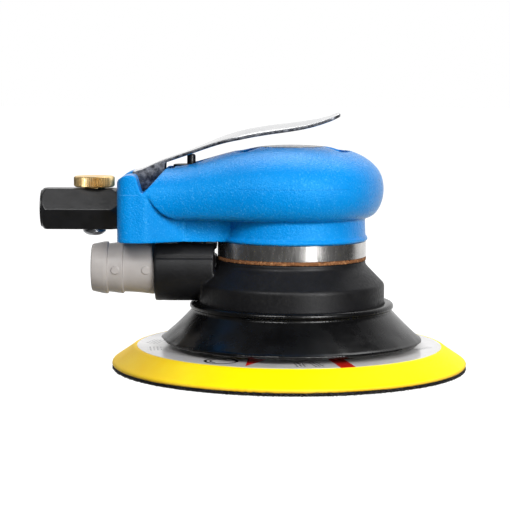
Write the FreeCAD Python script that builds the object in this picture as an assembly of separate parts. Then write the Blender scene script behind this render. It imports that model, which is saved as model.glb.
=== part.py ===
"""Pneumatic random-orbital palm sander with a 150 mm pad: one STEP file for each separate piece.

Millimetres. The origin is on the motor's axis, at the underside of the pad's hook face. +Z is up,
and the air inlet and the dust hose fitting both point along -X.
"""

import FreeCAD, Part
import math
import os

V = FreeCAD.Vector
UP = V(0, 0, 1)
ALONG_X = V(1, 0, 0)
ALONG_Y = V(0, 1, 0)
PARTS = "parts"

# Pad: hook face, foam, backing plate and printed label, all on the orbiting axis
PAD_RADIUS = 75.0
HOOK_RADIUS = 74.6
HOOK_TOP = 1.5
FOAM_TOP = 9.3
LABEL_TOP = 9.5
LABEL_RADIUS = 64.3
PLATE_RADIUS = 60.0
PLATE_BOTTOM = 6.8
PLATE_BOSS_RADIUS = 14.5
STUD_RADIUS = 3.9
STUD_FLANGE_RADIUS = 9.0
STUD_FLANGE_BOTTOM = 5.6
STUD_TOP = 22.5
DUST_HOLES = 6
DUST_HOLE_RADIUS = 6.0
DUST_CIRCLE_RADIUS = 40.0
ORBIT_RADIUS = 2.5
ORBIT_ANGLE = 111.0
PAD_X = ORBIT_RADIUS * math.cos(math.radians(ORBIT_ANGLE))
PAD_Y = ORBIT_RADIUS * math.sin(math.radians(ORBIT_ANGLE))

# Spindle and its two bearings, inside the balancer
SPINDLE_RADIUS = 5.0
SPINDLE_SHOULDER_RADIUS = 6.5
SPINDLE_FLANGE_RADIUS = 13.5
SPINDLE_FLATS = 24.0
SPINDLE_FLANGE_TOP = 13.5
SPINDLE_BEARING_BOTTOM = 17.0
SPINDLE_BEARING = {"bore": 5.0, "outside": 13.0, "width": 8.0, "balls": 7, "ball": 2.38}
SPINDLE_BEARING_TOP = SPINDLE_BEARING_BOTTOM + 2 * SPINDLE_BEARING["width"]
CIRCLIP_BOTTOM = 15.8
CIRCLIP_GROOVE_RADIUS = 13.6
SHIELD_BOTTOM = 14.6
BALANCER_BOTTOM = 14.4

# Motor: shaft and balancer, bearings, end plates, cylinder, rotor and vanes
FRONT_BEARING = {"bore": 6.0, "outside": 14.0, "width": 8.0, "balls": 8, "ball": 2.38}
FRONT_BEARING_BOTTOM = 48.5
REAR_BEARING = {"bore": 4.0, "outside": 11.0, "width": 7.0, "balls": 7, "ball": 1.98}
REAR_BEARING_BOTTOM = 79.6
BALL_CLEARANCE = 0.06
ROTOR_SEAT_RADIUS = 5.5
ROTOR_RADIUS = 19.3
MOTOR_RADIUS = 26.5
MOTOR_BOTTOM = 57.5
MOTOR_TOP = 77.5
ROTOR_END_GAP = 0.08
BORE_RADIUS = 22.0
BORE_OFFSET = 2.64
SEALING_ANGLE = 166.0
VANES = 5
VANE_THICKNESS = 1.9
VANE_DEPTH = 8.6
VANE_SLOT_WIDTH = 2.0
VANE_SLOT_DEPTH = 8.9
KEY_WIDTH = 3.0
DOWEL_RADIUS = 1.25
DOWEL_CIRCLE_RADIUS = 23.3
DOWEL_ANGLES = (132.0, 212.0)
FRONT_PLATE_BOTTOM = 51.5
REAR_PLATE_TOP = 82.0

# Skirt, shroud, gasket and the ring that clamps the motor into the housing
SKIRT_LIP_RADIUS = 42.85
SKIRT_EDGE_RADIUS = 54.8
SKIRT_BOTTOM = 11.7
SKIRT_TOP = 28.2
SHROUD_FLANGE_RADIUS = 41.0
SHROUD_BOTTOM = 24.5
SHROUD_RADIUS = 39.0
SHROUD_WALL = 2.2
SHROUD_SHOULDER = 36.3
NECK_RADIUS = 31.0
NECK_BOTTOM = 44.2
SHROUD_TOP = 46.2
SHROUD_MOUTH_RADIUS = 20.5
GASKET_TOP = 47.5
RING_RADIUS = 31.2
RING_TOP = 54.4
RING_THREAD_RADIUS = 28.6
RING_THREAD_TOP = 62.0
SCREW_CIRCLE_RADIUS = 24.0
SCREW_ANGLES = (90.0, 210.0, 330.0)

# Dust port and the barbed hose fitting that swivels in it
PORT_Z = 42.1
PORT_RADIUS = 13.8
PORT_FACE = -57.3
PORT_END = -32.6
PORT_TOP = 53.0
PORT_BOX_HALF_WIDTH = 12.2
PORT_BOX_BOTTOM = 47.0
PORT_RIB_HALF_WIDTH = 6.0
PORT_RIB_GAP = 0.25
SPIGOT_RADIUS = 9.6
SPIGOT_END = -48.2
SPIGOT_CLEARANCE = 0.1
BARB_MOUTH = -84.0
BARB_RADIUS = 11.0
BARB_ROOT_RADIUS = 10.15
BARB_BORE_RADIUS = 8.5
SPIGOT_BORE_RADIUS = 7.4
SET_SCREW_X = -54.0
NOZZLE_X = -42.0
NOZZLE_FLANGE_BOTTOM = 51.9

# Housing: drum round the motor, palm grip, waist and the block that holds the throttle
DRUM_TOP_RADIUS = 30.6
DRUM_TOP = 63.4
BEAD_RADIUS = 31.85
BEAD_TOP = 56.0
MOTOR_CAVITY_RADIUS = 26.6
BLOCK_REAR = -72.1
BLOCK_HALF_WIDTH = 24.0
WAIST_HALF_WIDTH = 15.0
WAIST_BLEND = 9.0
AIR_Z = 67.0
VALLEY_Z = 74.6
# Palm profile on the motor's axis: radius and height, from the overhang up to the crown
PALM_BOTTOM = 63.8
PALM_TOP = 94.0
PALM_RADIUS = 38.2
PALM_PROFILE = [
    (30.6, PALM_BOTTOM),
    (34.2, 65.2),
    (36.9, 68.9),
    (38.1, 73.1),
    (PALM_RADIUS, 77.5),
    (36.6, 82.9),
    (32.2, 87.7),
    (24.3, 91.6),
    (13.3, 93.4),
]
# Palm sections towards the inlet: x, half-width and top. Those ahead of x = 0 only guide the loft
PALM_SECTIONS = [
    (20.0, 35.2, 92.3),
    (10.0, 37.4, 93.6),
    (0.0, PALM_RADIUS, PALM_TOP),
    (-10.0, 37.4, 93.6),
    (-20.0, 35.2, 92.2),
    (-30.0, 31.6, 89.8),
    (-40.0, 27.9, 87.0),
    (-50.0, 25.2, 85.25),
    (-64.0, 24.0, 84.6),
]
# Crown: a finger scoop fore and aft of a boss, whose top holds a flush round label
CROWN_RADIUS = 24.2
SCOOP_DEPTH = 1.9
SCOOP_X = 32.0
SCOOP_RADIUS = 18.4
LABEL_SEAT_RADIUS = 12.9
TOP_LABEL_RADIUS = 12.6
TOP_LABEL_THICKNESS = 0.6

# Throttle: lever, stem, tip valve and its seat
PIVOT_X = -67.0
PIVOT_Z = 77.2
PIN_RADIUS = 1.5
PIN_START = -14.0
PIN_END = 23.0
LEVER_THICKNESS = 1.5
LEVER_BASE_HALF_WIDTH = 9.3
LEVER_HALF_WIDTH = 14.0
LEVER_TIP = 19.5
LEVER_CORNER_RADIUS = 4.5
LEVER_FLANGE_THICKNESS = 1.2
LEVER_SHEET_HALF_WIDTH = 16.0
# Lever sections: x, underside height at the edge, half-width and crown height
LEVER_SECTIONS = [
    (-66.5, 81.6, 9.3, 0.0),
    (-57.0, 85.0, 9.3, 0.0),
    (-47.5, 88.5, 9.5, 0.06),
    (-38.0, 91.85, 10.9, 0.5),
    (-28.5, 94.9, 12.6, 1.4),
    (-19.0, 96.95, 14.0, 2.1),
    (-9.5, 98.6, 14.0, 2.1),
    (0.0, 100.0, 14.0, 1.9),
    (9.5, 102.1, 14.0, 1.2),
    (19.6, 105.9, 14.0, 0.3),
]
SLOT_HALF_WIDTH = 10.0
STEM_X = -42.3
STEM_RADIUS = 1.8
STEM_BOTTOM = 68.6
STEM_TOP = 90.05
STEM_CAP = 0.9
GUIDE_RADIUS = 4.5
GUIDE_FLANGE_RADIUS = 7.5
GUIDE_FLANGE_BOTTOM = 84.0
GUIDE_TOP = 85.75
GUIDE_BOTTOM = 73.0
SEAT_FACE = -52.0
SEAT_END = -49.5
SEAT_RADIUS = 6.3
VALVE_CHAMBER_RADIUS = 6.4
VALVE_HEAD_RADIUS = 5.0
VALVE_ROD_RADIUS = 1.5
VALVE_ROD_END = -41.0
SPRING_WIRE_RADIUS = 0.4
SPRING_START = -63.6
SPRING_END = -55.15
SPRING_BASE_RADIUS = 4.6
SPRING_TIP_RADIUS = 3.0
SPRING_TURNS = 5

# Air inlet: hexagonal bushing with the flow regulator across it
INLET_FACE = -105.2
HEX_START = -104.2
HEX_FLATS = 17.0
HEX_END_RADIUS = 8.6
BUSHING_END = -62.0
BUSHING_BODY_RADIUS = 8.0
INLET_SEAL_X = -70.4
THREAD_RADIUS = 5.9
THREAD_DEPTH = 14.0
SCREEN_RADIUS = 4.8
SCREEN_END = -90.6
PASSAGE_RADIUS = 3.5
REGULATOR_X = -83.0
SPOOL_RADIUS = 4.45
SPOOL_BORE_RADIUS = 4.5
KNOB_RADIUS = 8.55
KNOB_BOTTOM = 76.1
KNOB_TOP = 80.6
KNURLS = 60
KNURL_DEPTH = 0.42
SCREW_HEAD_RADIUS = 4.75


def xz(a, b):
    return V(a, 0, b)


def xy(a, b):
    return V(a, b, 0)


def outline(steps, place=xz):
    """Closed face through the steps. A step is a point, or a (middle, end) pair of points for an arc."""
    here = place(*steps[0])
    start = here
    edges = []
    for step in steps[1:]:
        is_arc = isinstance(step[0], tuple)
        end = place(*step[1]) if is_arc else place(*step)
        edge = Part.Arc(here, place(*step[0]), end) if is_arc else Part.LineSegment(here, end)
        edges.append(edge.toShape())
        here = end
    if (here - start).Length > 1e-6:
        edges.append(Part.LineSegment(here, start).toShape())
    return Part.Face(Part.Wire(edges))


def outward(shape):
    """The same solid with its faces pointing out."""
    return shape.reversed() if shape.Volume < 0 else shape


def turned(steps, x=0.0, y=0.0):
    """Solid turned about a vertical axis from a profile of (radius, height) steps."""
    return outward(outline(steps).revolve(V(0, 0, 0), UP, 360)).translated(V(x, y, 0))


def turned_along_x(steps, z):
    """Solid turned about an axis along X from a profile of (x, radius) steps."""
    return outward(outline(steps).revolve(V(0, 0, 0), ALONG_X, 360)).translated(V(0, 0, z))


def side_block(steps, near, far):
    """Solid with an (x, z) outline, from y = near to y = far."""
    return outward(outline(steps).translated(V(0, near, 0)).extrude(V(0, far - near, 0)))


def plan_block(steps, bottom, top):
    """Solid with an (x, y) outline."""
    return outward(outline(steps, xy).translated(V(0, 0, bottom)).extrude(V(0, 0, top - bottom)))


def cylinder(radius, bottom, top, x=0.0, y=0.0):
    return Part.makeCylinder(radius, top - bottom, V(x, y, bottom))


def tube(outer, inner, bottom, top, x=0.0, y=0.0):
    return cylinder(outer, bottom, top, x, y).cut(cylinder(inner, bottom, top, x, y))


def rod_along_x(radius, start, end, z=AIR_Z):
    return Part.makeCylinder(radius, end - start, V(start, 0, z), ALONG_X)


def rod_along_y(radius, start, end, x, z):
    return Part.makeCylinder(radius, end - start, V(x, start, z), ALONG_Y)


def box(x, y, z):
    """Block between the two x, the two y and the two z values."""
    return Part.makeBox(x[1] - x[0], y[1] - y[0], z[1] - z[0], V(x[0], y[0], z[0]))


def around(radius, angle):
    """Point on a circle round the motor's axis."""
    return radius * math.cos(math.radians(angle)), radius * math.sin(math.radians(angle))


def joined(first, *others):
    """One solid from touching or overlapping ones."""
    return first.multiFuse(list(others)).removeSplitter()


def without(shape, *tools):
    return shape.cut(list(tools))


def rounded(shape, radius, choose):
    """The shape with a fillet on each edge that choose accepts."""
    return shape.makeFillet(radius, [edge for edge in shape.Edges if choose(edge)])


def is_upright(edge):
    low, high = edge.BoundBox.ZMin, edge.BoundBox.ZMax
    return edge.BoundBox.DiagonalLength - (high - low) < 1e-3


# ---- bearings ----


def bearing(size, bottom, x=0.0, y=0.0):
    """Inner race, outer race, and the balls with their cage, of one deep-groove ball bearing."""
    bore, outside, width, ball = size["bore"], size["outside"], size["width"], size["ball"]
    pitch = (bore + outside) / 2
    half_gap = 0.71 * ball
    middle = bottom + width / 2
    top = bottom + width
    centre = V(x, y, middle)
    groove = Part.makeTorus(pitch, ball + BALL_CLEARANCE, centre, UP)
    inner = tube(pitch - half_gap, bore, bottom, top, x, y).cut(groove)
    outer = tube(outside, pitch + half_gap, bottom, top, x, y).cut(groove)
    cage = tube(pitch + 0.5, pitch - 0.5, middle - ball - 0.5, middle + ball + 0.5, x, y)
    balls = []
    for number in range(size["balls"]):
        angle = math.radians(360 * number / size["balls"])
        arm = V(math.cos(angle), math.sin(angle), 0)
        balls.append(Part.makeSphere(ball, centre + arm * pitch))
        pocket = Part.makeCylinder(ball + BALL_CLEARANCE, 4, centre + arm * (pitch - 2), arm)
        cage = cage.cut(pocket)
    return inner, outer, Part.makeCompound([cage] + balls)


# ---- pad ----


def dust_holes(bottom, top):
    holes = []
    for number in range(DUST_HOLES):
        x, y = around(DUST_CIRCLE_RADIUS, 360 * number / DUST_HOLES)
        holes.append(cylinder(DUST_HOLE_RADIUS, bottom, top, PAD_X + x, PAD_Y + y))
    return holes


def pad_hook_face():
    disc = cylinder(HOOK_RADIUS, 0, HOOK_TOP, PAD_X, PAD_Y)
    return without(disc, *dust_holes(0, HOOK_TOP))


def pad_foam():
    """Bevelled foam moulded round the backing plate, with a rim that stands round the label."""
    body = turned(
        [
            (0, HOOK_TOP),
            (HOOK_RADIUS, HOOK_TOP),
            ((PAD_RADIUS, 2.3), (74.5, 3.2)),
            (66.0, 9.0),
            ((65.7, 9.36), (65.2, LABEL_TOP)),
            (LABEL_RADIUS + 0.1, LABEL_TOP),
            (LABEL_RADIUS + 0.1, FOAM_TOP),
            (0, FOAM_TOP),
        ],
        PAD_X,
        PAD_Y,
    )
    plate_pocket = cylinder(PLATE_RADIUS, PLATE_BOTTOM, FOAM_TOP, PAD_X, PAD_Y)
    stud_pocket = cylinder(STUD_FLANGE_RADIUS, STUD_FLANGE_BOTTOM, PLATE_BOTTOM, PAD_X, PAD_Y)
    return without(body, plate_pocket, stud_pocket, *dust_holes(HOOK_TOP, FOAM_TOP))


def pad_plate():
    """Glass-fibre backing plate with a raised boss under the spindle."""
    disc = cylinder(PLATE_RADIUS, PLATE_BOTTOM, FOAM_TOP, PAD_X, PAD_Y)
    boss = cylinder(PLATE_BOSS_RADIUS, FOAM_TOP, LABEL_TOP, PAD_X, PAD_Y)
    bore = cylinder(STUD_RADIUS, PLATE_BOTTOM, LABEL_TOP, PAD_X, PAD_Y)
    return without(joined(disc, boss), bore, *dust_holes(PLATE_BOTTOM, FOAM_TOP))


def pad_stud():
    shank = cylinder(STUD_RADIUS, PLATE_BOTTOM, STUD_TOP, PAD_X, PAD_Y)
    flange = cylinder(STUD_FLANGE_RADIUS, STUD_FLANGE_BOTTOM, PLATE_BOTTOM, PAD_X, PAD_Y)
    return joined(shank, flange)


def pad_label():
    ring = tube(LABEL_RADIUS, PLATE_BOSS_RADIUS + 0.5, FOAM_TOP, LABEL_TOP, PAD_X, PAD_Y)
    return without(ring, *dust_holes(FOAM_TOP, LABEL_TOP))


# ---- spindle, balancer and motor ----


def spindle():
    """Spindle with two spanner flats, threaded for the pad's stud below and the screw above."""
    body = turned(
        [
            (0, LABEL_TOP),
            (SPINDLE_FLANGE_RADIUS, LABEL_TOP),
            (SPINDLE_FLANGE_RADIUS, SPINDLE_FLANGE_TOP),
            (SPINDLE_SHOULDER_RADIUS, SPINDLE_FLANGE_TOP),
            (SPINDLE_SHOULDER_RADIUS, SPINDLE_BEARING_BOTTOM),
            (SPINDLE_RADIUS, SPINDLE_BEARING_BOTTOM),
            (SPINDLE_RADIUS, SPINDLE_BEARING_TOP),
            (0, SPINDLE_BEARING_TOP),
        ],
        PAD_X,
        PAD_Y,
    )
    half = SPINDLE_FLATS / 2
    depth = (LABEL_TOP, SPINDLE_FLANGE_TOP)
    width = (PAD_X - 20, PAD_X + 20)
    body = body.cut(box(width, (PAD_Y + half, PAD_Y + 20), depth))
    body = body.cut(box(width, (PAD_Y - 20, PAD_Y - half), depth))
    stud_thread = cylinder(STUD_RADIUS, LABEL_TOP, STUD_TOP + 0.5, PAD_X, PAD_Y)
    screw_thread = cylinder(2.5, 25, SPINDLE_BEARING_TOP, PAD_X, PAD_Y)
    return without(body, stud_thread, screw_thread)


def spindle_screw():
    shank = cylinder(2.5, 25.5, SPINDLE_BEARING_TOP, PAD_X, PAD_Y)
    head = cylinder(7.0, SPINDLE_BEARING_TOP, 36.5, PAD_X, PAD_Y)
    socket = plan_block(hexagon(4.0, PAD_X, PAD_Y), 34.5, 36.5)
    return joined(shank, head).cut(socket)


def hexagon(flats, x=0.0, y=0.0):
    radius = flats / 2 / math.cos(math.radians(30))
    points = []
    for corner in range(6):
        angle = math.radians(60 * corner)
        points.append((x + radius * math.cos(angle), y + radius * math.sin(angle)))
    return points


def spindle_circlip():
    ring = tube(CIRCLIP_GROOVE_RADIUS, 11.6, CIRCLIP_BOTTOM, SPINDLE_BEARING_BOTTOM, PAD_X, PAD_Y)
    gap = box((PAD_X + 9, PAD_X + 15), (PAD_Y - 2, PAD_Y + 2), (CIRCLIP_BOTTOM, SPINDLE_BEARING_BOTTOM))
    return ring.cut(gap)


def dust_shield():
    return tube(13.0, 7.0, SHIELD_BOTTOM, CIRCLIP_BOTTOM, PAD_X, PAD_Y)


def counterweight():
    """Sector of a disc that faces away from the pad's offset."""
    disc = cylinder(30.0, 30.0, 38.0)
    slab = box((6, 40), (-40, 40), (30.0, 38.0))
    slab.rotate(V(0, 0, 0), UP, ORBIT_ANGLE + 180)
    return disc.common(slab)


def shaft_balancer():
    """Motor shaft, offset barrel for the spindle's bearings and counterweight, in one piece."""
    shaft = turned(
        [
            (0, 36.0),
            (18.0, 36.0),
            (18.0, 42.0),
            (8.0, 42.0),
            (8.0, FRONT_BEARING_BOTTOM),
            (FRONT_BEARING["bore"], FRONT_BEARING_BOTTOM),
            (FRONT_BEARING["bore"], MOTOR_BOTTOM),
            (ROTOR_SEAT_RADIUS, MOTOR_BOTTOM),
            (ROTOR_SEAT_RADIUS, REAR_BEARING_BOTTOM),
            (REAR_BEARING["bore"], REAR_BEARING_BOTTOM),
            (REAR_BEARING["bore"], 87.0),
            (0, 87.0),
        ]
    )
    barrel = cylinder(17.0, BALANCER_BOTTOM, 38.0, PAD_X, PAD_Y)
    outside = SPINDLE_BEARING["outside"]
    bore = cylinder(outside, BALANCER_BOTTOM, SPINDLE_BEARING_TOP, PAD_X, PAD_Y)
    groove = cylinder(CIRCLIP_GROOVE_RADIUS, CIRCLIP_BOTTOM, SPINDLE_BEARING_BOTTOM, PAD_X, PAD_Y)
    head_room = cylinder(11.0, SPINDLE_BEARING_TOP, 38.0, PAD_X, PAD_Y)
    return without(joined(shaft, barrel, counterweight()), bore, groove, head_room, rotor_key())


def rotor_key():
    half = KEY_WIDTH / 2
    return box((4.0, 7.0), (-half, half), (60.0, 75.0))


def vane_block(width, depth, outer):
    """Upright slab that stands in one vane slot, for the slot on the +X side."""
    bottom = MOTOR_BOTTOM + ROTOR_END_GAP
    top = MOTOR_TOP - ROTOR_END_GAP
    return box((outer - depth, outer), (-width / 2, width / 2), (bottom, top))


def vane_angles():
    return [36 + 360 * number / VANES for number in range(VANES)]


def rotor():
    bottom = MOTOR_BOTTOM + ROTOR_END_GAP
    top = MOTOR_TOP - ROTOR_END_GAP
    body = tube(ROTOR_RADIUS, ROTOR_SEAT_RADIUS, bottom, top)
    for angle in vane_angles():
        slot = vane_block(VANE_SLOT_WIDTH, VANE_SLOT_DEPTH + 1, ROTOR_RADIUS + 1)
        slot.rotate(V(0, 0, 0), UP, angle)
        body = body.cut(slot)
    return body.cut(rotor_key())


def vanes():
    blades = []
    for angle in vane_angles():
        blade = vane_block(VANE_THICKNESS, VANE_DEPTH, ROTOR_RADIUS - 0.1)
        blade.rotate(V(0, 0, 0), UP, angle)
        blades.append(blade)
    return Part.makeCompound(blades)


def dowels():
    pins = []
    for angle in DOWEL_ANGLES:
        x, y = around(DOWEL_CIRCLE_RADIUS, angle)
        pins.append(cylinder(DOWEL_RADIUS, MOTOR_BOTTOM - 3, MOTOR_TOP + 3, x, y))
    return pins


def motor_cylinder():
    """Sleeve whose offset bore nearly touches the rotor between the air inlet and the exhaust."""
    x, y = around(BORE_OFFSET, SEALING_ANGLE + 180)
    sleeve = cylinder(MOTOR_RADIUS, MOTOR_BOTTOM, MOTOR_TOP)
    bore = cylinder(BORE_RADIUS, MOTOR_BOTTOM, MOTOR_TOP, x, y)
    inlet = rod_along_x(4.0, -30, -15)
    return without(sleeve, bore, inlet, exhaust_duct(-15), *dowels())


def exhaust_duct(end):
    """Air way beside the inlet, from the motor back to the drop above the ejector nozzle."""
    return box((NOZZLE_X - 3, end), (7.0, 11.5), (63.5, 71.5))


def front_end_plate():
    body = joined(
        cylinder(MOTOR_RADIUS, FRONT_PLATE_BOTTOM, MOTOR_BOTTOM),
        cylinder(17.0, FRONT_BEARING_BOTTOM, FRONT_PLATE_BOTTOM),
    )
    pocket_top = FRONT_BEARING_BOTTOM + FRONT_BEARING["width"]
    pocket = cylinder(FRONT_BEARING["outside"], FRONT_BEARING_BOTTOM, pocket_top)
    shaft_hole = cylinder(8.0, pocket_top, MOTOR_BOTTOM)
    seal_groove = tube(MOTOR_RADIUS, 24.8, 53.6, 55.4)
    return without(body, pocket, shaft_hole, seal_groove, *dowels())


def rear_end_plate():
    body = joined(
        cylinder(MOTOR_RADIUS, MOTOR_TOP, REAR_PLATE_TOP),
        cylinder(14.0, REAR_PLATE_TOP, 86.8),
    )
    pocket = cylinder(REAR_BEARING["outside"], REAR_BEARING_BOTTOM, 86.8)
    shaft_hole = cylinder(7.0, MOTOR_TOP, REAR_BEARING_BOTTOM)
    return without(body, pocket, shaft_hole, *dowels())


def motor_seal():
    return Part.makeTorus(25.7, 0.85, V(0, 0, 54.5), UP)


# ---- skirt, shroud, gasket and lock ring ----


def skirt():
    """Rubber skirt: a lip that grips the shroud, a waist under it and a flared apron."""
    return turned(
        [
            (SHROUD_RADIUS, SKIRT_TOP),
            (41.5, SKIRT_TOP),
            ((SKIRT_LIP_RADIUS, 27.2), (SKIRT_LIP_RADIUS, 26.1)),
            ((42.1, 25.1), (42.7, 24.2)),
            ((48.5, 18.2), (54.0, 13.2)),
            ((SKIRT_EDGE_RADIUS, 12.2), (54.0, SKIRT_BOTTOM)),
            (53.0, 11.9),
            ((47.2, 16.8), (40.6, 23.4)),
            (38.0, 23.4),
            (38.0, SHROUD_BOTTOM),
            (SHROUD_FLANGE_RADIUS, SHROUD_BOTTOM),
            (SHROUD_FLANGE_RADIUS, SHROUD_BOTTOM + 2),
            (SHROUD_RADIUS, SHROUD_BOTTOM + 2),
        ]
    )


def port_body():
    """Outside of the dust port: round below, with a flat-topped box along its upper half."""
    barrel = rod_along_x(PORT_RADIUS, PORT_FACE, PORT_END, PORT_Z)
    barrel = rounded(barrel, 0.6, lambda edge: abs(edge.CenterOfMass.x - PORT_FACE) < 0.01)
    reach = (PORT_FACE - 1, PORT_END + 1)
    above = box(reach, (-20, 20), (PORT_TOP, 60))
    low = box(reach, (-20, -PORT_BOX_HALF_WIDTH), (PORT_BOX_BOTTOM, 60))
    high = box(reach, (PORT_BOX_HALF_WIDTH, 20), (PORT_BOX_BOTTOM, 60))
    return without(barrel, above, low, high)


def port_ribs():
    """Ribs above and below, which carry the port's inner end towards the lock ring."""
    reach = (PORT_END - 1, -RING_RADIUS - PORT_RIB_GAP)
    width = (-PORT_RIB_HALF_WIDTH, PORT_RIB_HALF_WIDTH)
    return [box(reach, width, (41.0, 47.6)), box(reach, width, (50.6, PORT_TOP))]


def shroud():
    """Stepped cover under the lock ring, with the dust port on its side."""
    shell = turned(
        [
            (0, SHROUD_BOTTOM),
            (SHROUD_FLANGE_RADIUS, SHROUD_BOTTOM),
            (SHROUD_FLANGE_RADIUS, SHROUD_BOTTOM + 2),
            (SHROUD_RADIUS, SHROUD_BOTTOM + 2),
            (SHROUD_RADIUS, SHROUD_SHOULDER - 0.8),
            ((SHROUD_RADIUS - 0.25, SHROUD_SHOULDER - 0.1), (SHROUD_RADIUS - 0.8, SHROUD_SHOULDER + 0.5)),
            (NECK_RADIUS, NECK_BOTTOM),
            (NECK_RADIUS, SHROUD_TOP),
            (0, SHROUD_TOP),
        ]
    )
    inside = SHROUD_RADIUS - SHROUD_WALL
    cavity = turned(
        [
            (0, SHROUD_BOTTOM),
            (inside, SHROUD_BOTTOM),
            (inside, SHROUD_SHOULDER - 1.1),
            (28.6, 43.2),
            (0, 43.2),
        ]
    )
    mouth = cylinder(SHROUD_MOUTH_RADIUS, 43.2, SHROUD_TOP)
    body = joined(shell, port_body(), *port_ribs())
    chamber_start = SPIGOT_END + 0.1
    spigot_bore = rod_along_x(SPIGOT_RADIUS + SPIGOT_CLEARANCE, PORT_FACE - 1, chamber_start, PORT_Z)
    chamber = rod_along_x(9.3, chamber_start, -36.5, PORT_Z)
    dust_way = box((-40, -26), (-8.5, 8.5), (31, 40))
    nozzle_seat = cylinder(6.0, NOZZLE_FLANGE_BOTTOM, PORT_TOP, NOZZLE_X)
    nozzle_bore = cylinder(4.5, PORT_Z, NOZZLE_FLANGE_BOTTOM, NOZZLE_X)
    set_screw_bore = cylinder(2.0, 28, 33, SET_SCREW_X)
    screw_holes = [cylinder(2.0, 43.2, SHROUD_TOP, *around(SCREW_CIRCLE_RADIUS, a)) for a in SCREW_ANGLES]
    port_ways = [spigot_bore, chamber, dust_way, nozzle_seat, nozzle_bore, set_screw_bore]
    return without(body, cavity, mouth, *(port_ways + screw_holes))


def shroud_screws():
    screws = []
    for angle in SCREW_ANGLES:
        x, y = around(SCREW_CIRCLE_RADIUS, angle)
        screw = joined(cylinder(3.5, 40.2, 43.2, x, y), cylinder(2.0, 43.2, 51.3, x, y))
        socket = plan_block(hexagon(3.0, x, y), 40.2, 41.8)
        screws.append(screw.cut(socket))
    return Part.makeCompound(screws)


def shroud_gasket():
    ring = tube(RING_RADIUS, SHROUD_MOUTH_RADIUS, SHROUD_TOP, GASKET_TOP)
    holes = [cylinder(2.0, SHROUD_TOP, GASKET_TOP, *around(SCREW_CIRCLE_RADIUS, a)) for a in SCREW_ANGLES]
    return without(ring, *holes)


def lock_ring():
    """Aluminium ring that screws up into the housing and clamps the motor."""
    body = turned(
        [
            (20.0, GASKET_TOP),
            (RING_RADIUS - 0.3, GASKET_TOP),
            (RING_RADIUS, GASKET_TOP + 0.3),
            (RING_RADIUS, RING_TOP - 0.3),
            (RING_RADIUS - 0.3, RING_TOP),
            (RING_THREAD_RADIUS, RING_TOP),
            (RING_THREAD_RADIUS, RING_THREAD_TOP),
            (MOTOR_CAVITY_RADIUS, RING_THREAD_TOP),
            (MOTOR_CAVITY_RADIUS, FRONT_PLATE_BOTTOM),
            (20.0, FRONT_PLATE_BOTTOM),
        ]
    )
    top = FRONT_PLATE_BOTTOM
    holes = [cylinder(2.0, GASKET_TOP, top, *around(SCREW_CIRCLE_RADIUS, a)) for a in SCREW_ANGLES]
    return without(body, *holes)


# ---- dust port and hose fitting ----


def hose_fitting():
    """Barbed fitting with two crests, and a grooved spigot that turns in the port."""
    body = turned_along_x(
        [
            (BARB_MOUTH, BARB_BORE_RADIUS + 0.4),
            (BARB_MOUTH, 9.2),
            ((-83.8, 9.75), (-83.3, 10.0)),
            (-78.6, BARB_RADIUS),
            (-77.1, BARB_RADIUS),
            (-77.0, BARB_ROOT_RADIUS),
            (-71.2, BARB_RADIUS - 0.1),
            (-70.6, BARB_RADIUS - 0.1),
            (-70.5, BARB_ROOT_RADIUS),
            ((-64.4, 10.45), (-58.4, 11.1)),
            (PORT_FACE - 0.2, 11.0),
            (PORT_FACE - 0.2, SPIGOT_RADIUS),
            (SPIGOT_END, SPIGOT_RADIUS),
            (SPIGOT_END, SPIGOT_BORE_RADIUS),
            (-60.0, SPIGOT_BORE_RADIUS),
            (-62.0, BARB_BORE_RADIUS),
            (BARB_MOUTH + 0.4, BARB_BORE_RADIUS),
        ],
        PORT_Z,
    )
    near = -BARB_RADIUS
    pips = [rod_along_y(1.6, near, near + 2, x, PORT_Z - 0.1) for x in (-73.7, -61.0)]
    screw_groove = spigot_groove(SET_SCREW_X - 1.7, SET_SCREW_X + 1.7, 8.6)
    seal_groove = spigot_groove(-50.75, -49.25, 8.3)
    return without(joined(body, *pips), screw_groove, seal_groove)


def spigot_groove(start, end, root_radius):
    outside = rod_along_x(SPIGOT_RADIUS + 1, start, end, PORT_Z)
    return outside.cut(rod_along_x(root_radius, start, end, PORT_Z))


def fitting_o_ring():
    return Part.makeTorus(8.95, 0.65, V(-50.0, 0, PORT_Z), ALONG_X)


def fitting_set_screw():
    """Dog-point screw under the port, whose tip runs in the spigot's groove."""
    tip = PORT_Z - 8.9
    body = joined(cylinder(2.0, 28.8, 32.2, SET_SCREW_X), cylinder(1.3, 32.2, tip, SET_SCREW_X))
    return body.cut(plan_block(hexagon(2.0, SET_SCREW_X), 28.8, 30.6))


def ejector_nozzle():
    """Elbow that turns the motor's exhaust into the hose fitting, where it draws the dust along."""
    drop = joined(
        cylinder(4.5, PORT_Z, NOZZLE_FLANGE_BOTTOM, NOZZLE_X),
        cylinder(6.0, NOZZLE_FLANGE_BOTTOM, PORT_TOP, NOZZLE_X),
    )
    elbow = Part.makeSphere(4.5, V(NOZZLE_X, 0, PORT_Z))
    jet = rod_along_x(4.2, -52.0, NOZZLE_X, PORT_Z)
    drop_bore = cylinder(2.8, PORT_Z, PORT_TOP, NOZZLE_X)
    corner = Part.makeSphere(2.8, V(NOZZLE_X, 0, PORT_Z))
    jet_bore = rod_along_x(2.4, -52.0, NOZZLE_X, PORT_Z)
    return without(joined(drop, elbow, jet), drop_bore, corner, jet_bore)


def exhaust_seal():
    pad = box((NOZZLE_X - 6, NOZZLE_X + 6), (-7, 12), (PORT_TOP, RING_TOP))
    pad = rounded(pad, 2.0, is_upright)
    return pad.cut(cylinder(3.0, PORT_TOP, RING_TOP, NOZZLE_X))


# ---- housing ----


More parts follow.
